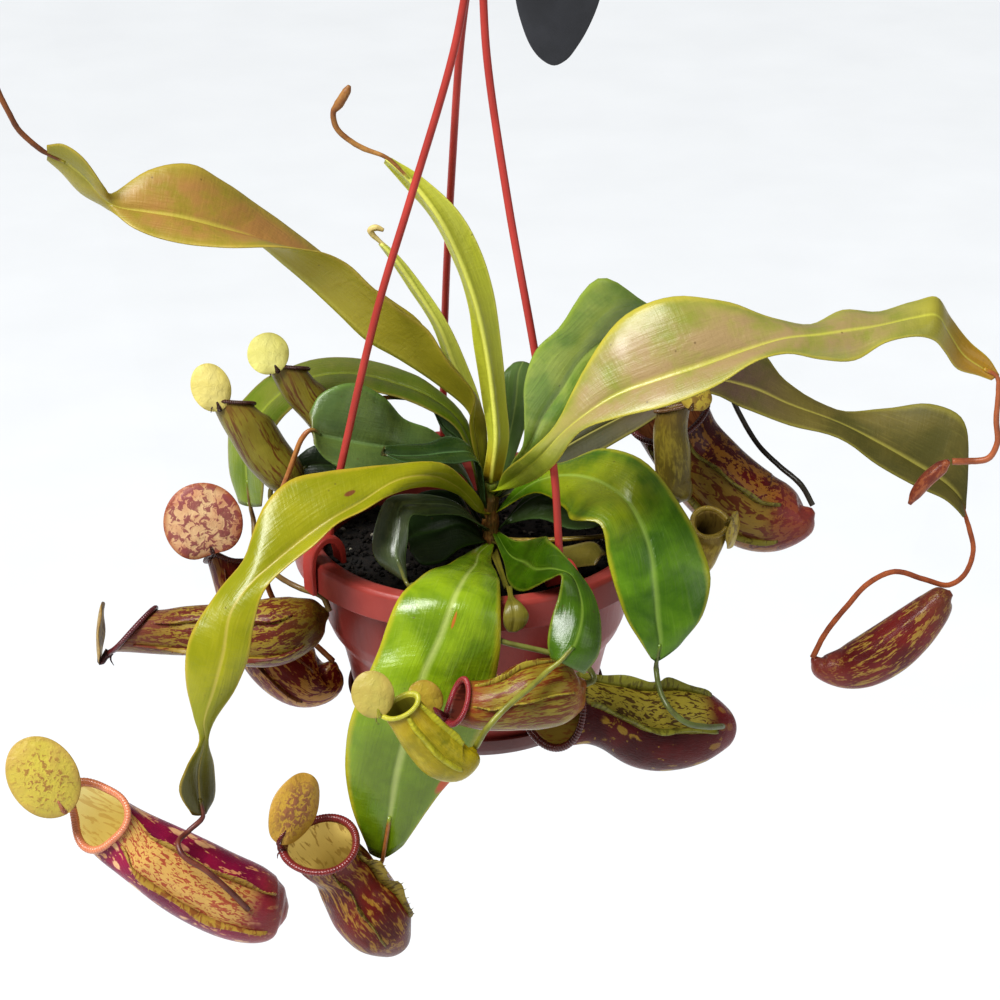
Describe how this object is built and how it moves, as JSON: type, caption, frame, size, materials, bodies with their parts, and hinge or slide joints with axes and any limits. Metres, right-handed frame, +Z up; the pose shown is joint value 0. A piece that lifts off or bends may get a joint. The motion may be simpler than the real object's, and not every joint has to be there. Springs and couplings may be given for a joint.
{
  "type": "hanging pitcher plant",
  "caption": "Tropical pitcher plant with long arching leaves and hanging hollow traps in a shallow plastic pot with a drip tray and a three-strand hanger",
  "frame": {"origin": "inside top of the hook, where the part hangs; the centre of the pot's rim is 277 mm below it and 2 mm to -X", "axes": "+Z up, +X to the right and -Y towards the viewer of the picture"},
  "size_m": [0.3713, 0.2049, 0.4227],
  "materials": {
    "pot": "satin moulded",
    "drip_tray": "satin moulded",
    "soil": "damp peat",
    "hanger": "smooth moulded",
    "care_tag": "printed card, blank",
    "tag_tie": "thin cord",
    "stem": "woody",
    "leaf_lime": "waxy leaf",
    "leaf_green": "waxy leaf",
    "leaf_dark": "waxy leaf",
    "leaf_bronze": "waxy leaf",
    "pitcher_orange": "mottled, waxy",
    "pitcher_red": "mottled, waxy",
    "pitcher_olive": "mottled, waxy"
  },
  "bodies": {
    "root": {"pot": "pot", "drip_tray": "drip_tray", "soil": "soil", "care_tag": "care_tag", "tag_tie": "tag_tie", "stem": "stem", "hanger_strand_1": "hanger", "hanger_strand_2": "hanger", "hanger_strand_3": "hanger", "hanger_clip_1": "hanger", "hanger_clip_2": "hanger", "hanger_clip_3": "hanger", "hanger_hook": "hanger", "leaf_01": "leaf_bronze", "leaf_02": "leaf_lime", "leaf_03": "leaf_lime", "leaf_04": "leaf_green", "leaf_05": "leaf_dark", "leaf_06": "leaf_dark", "leaf_07": "leaf_lime", "leaf_08": "leaf_green", "leaf_09": "leaf_green", "leaf_10": "leaf_green", "leaf_11": "leaf_green", "leaf_12": "leaf_green", "leaf_13": "leaf_lime", "leaf_14": "leaf_lime", "leaf_15": "leaf_lime", "leaf_16": "leaf_dark", "leaf_17": "leaf_dark", "leaf_18": "leaf_dark", "leaf_19": "leaf_dark", "leaf_20": "leaf_green", "leaf_21": "leaf_green", "pitcher_01": "pitcher_orange", "pitcher_02": "pitcher_orange", "pitcher_03": "pitcher_olive", "pitcher_04": "pitcher_red", "pitcher_05": "pitcher_olive", "pitcher_06": "pitcher_olive", "pitcher_07": "pitcher_red", "pitcher_08": "pitcher_red", "pitcher_09": "pitcher_orange", "pitcher_10": "pitcher_olive", "pitcher_11": "pitcher_olive", "pitcher_12": "pitcher_olive", "pitcher_13": "pitcher_olive", "pitcher_14": "pitcher_red"}
  },
  "joints": []
}
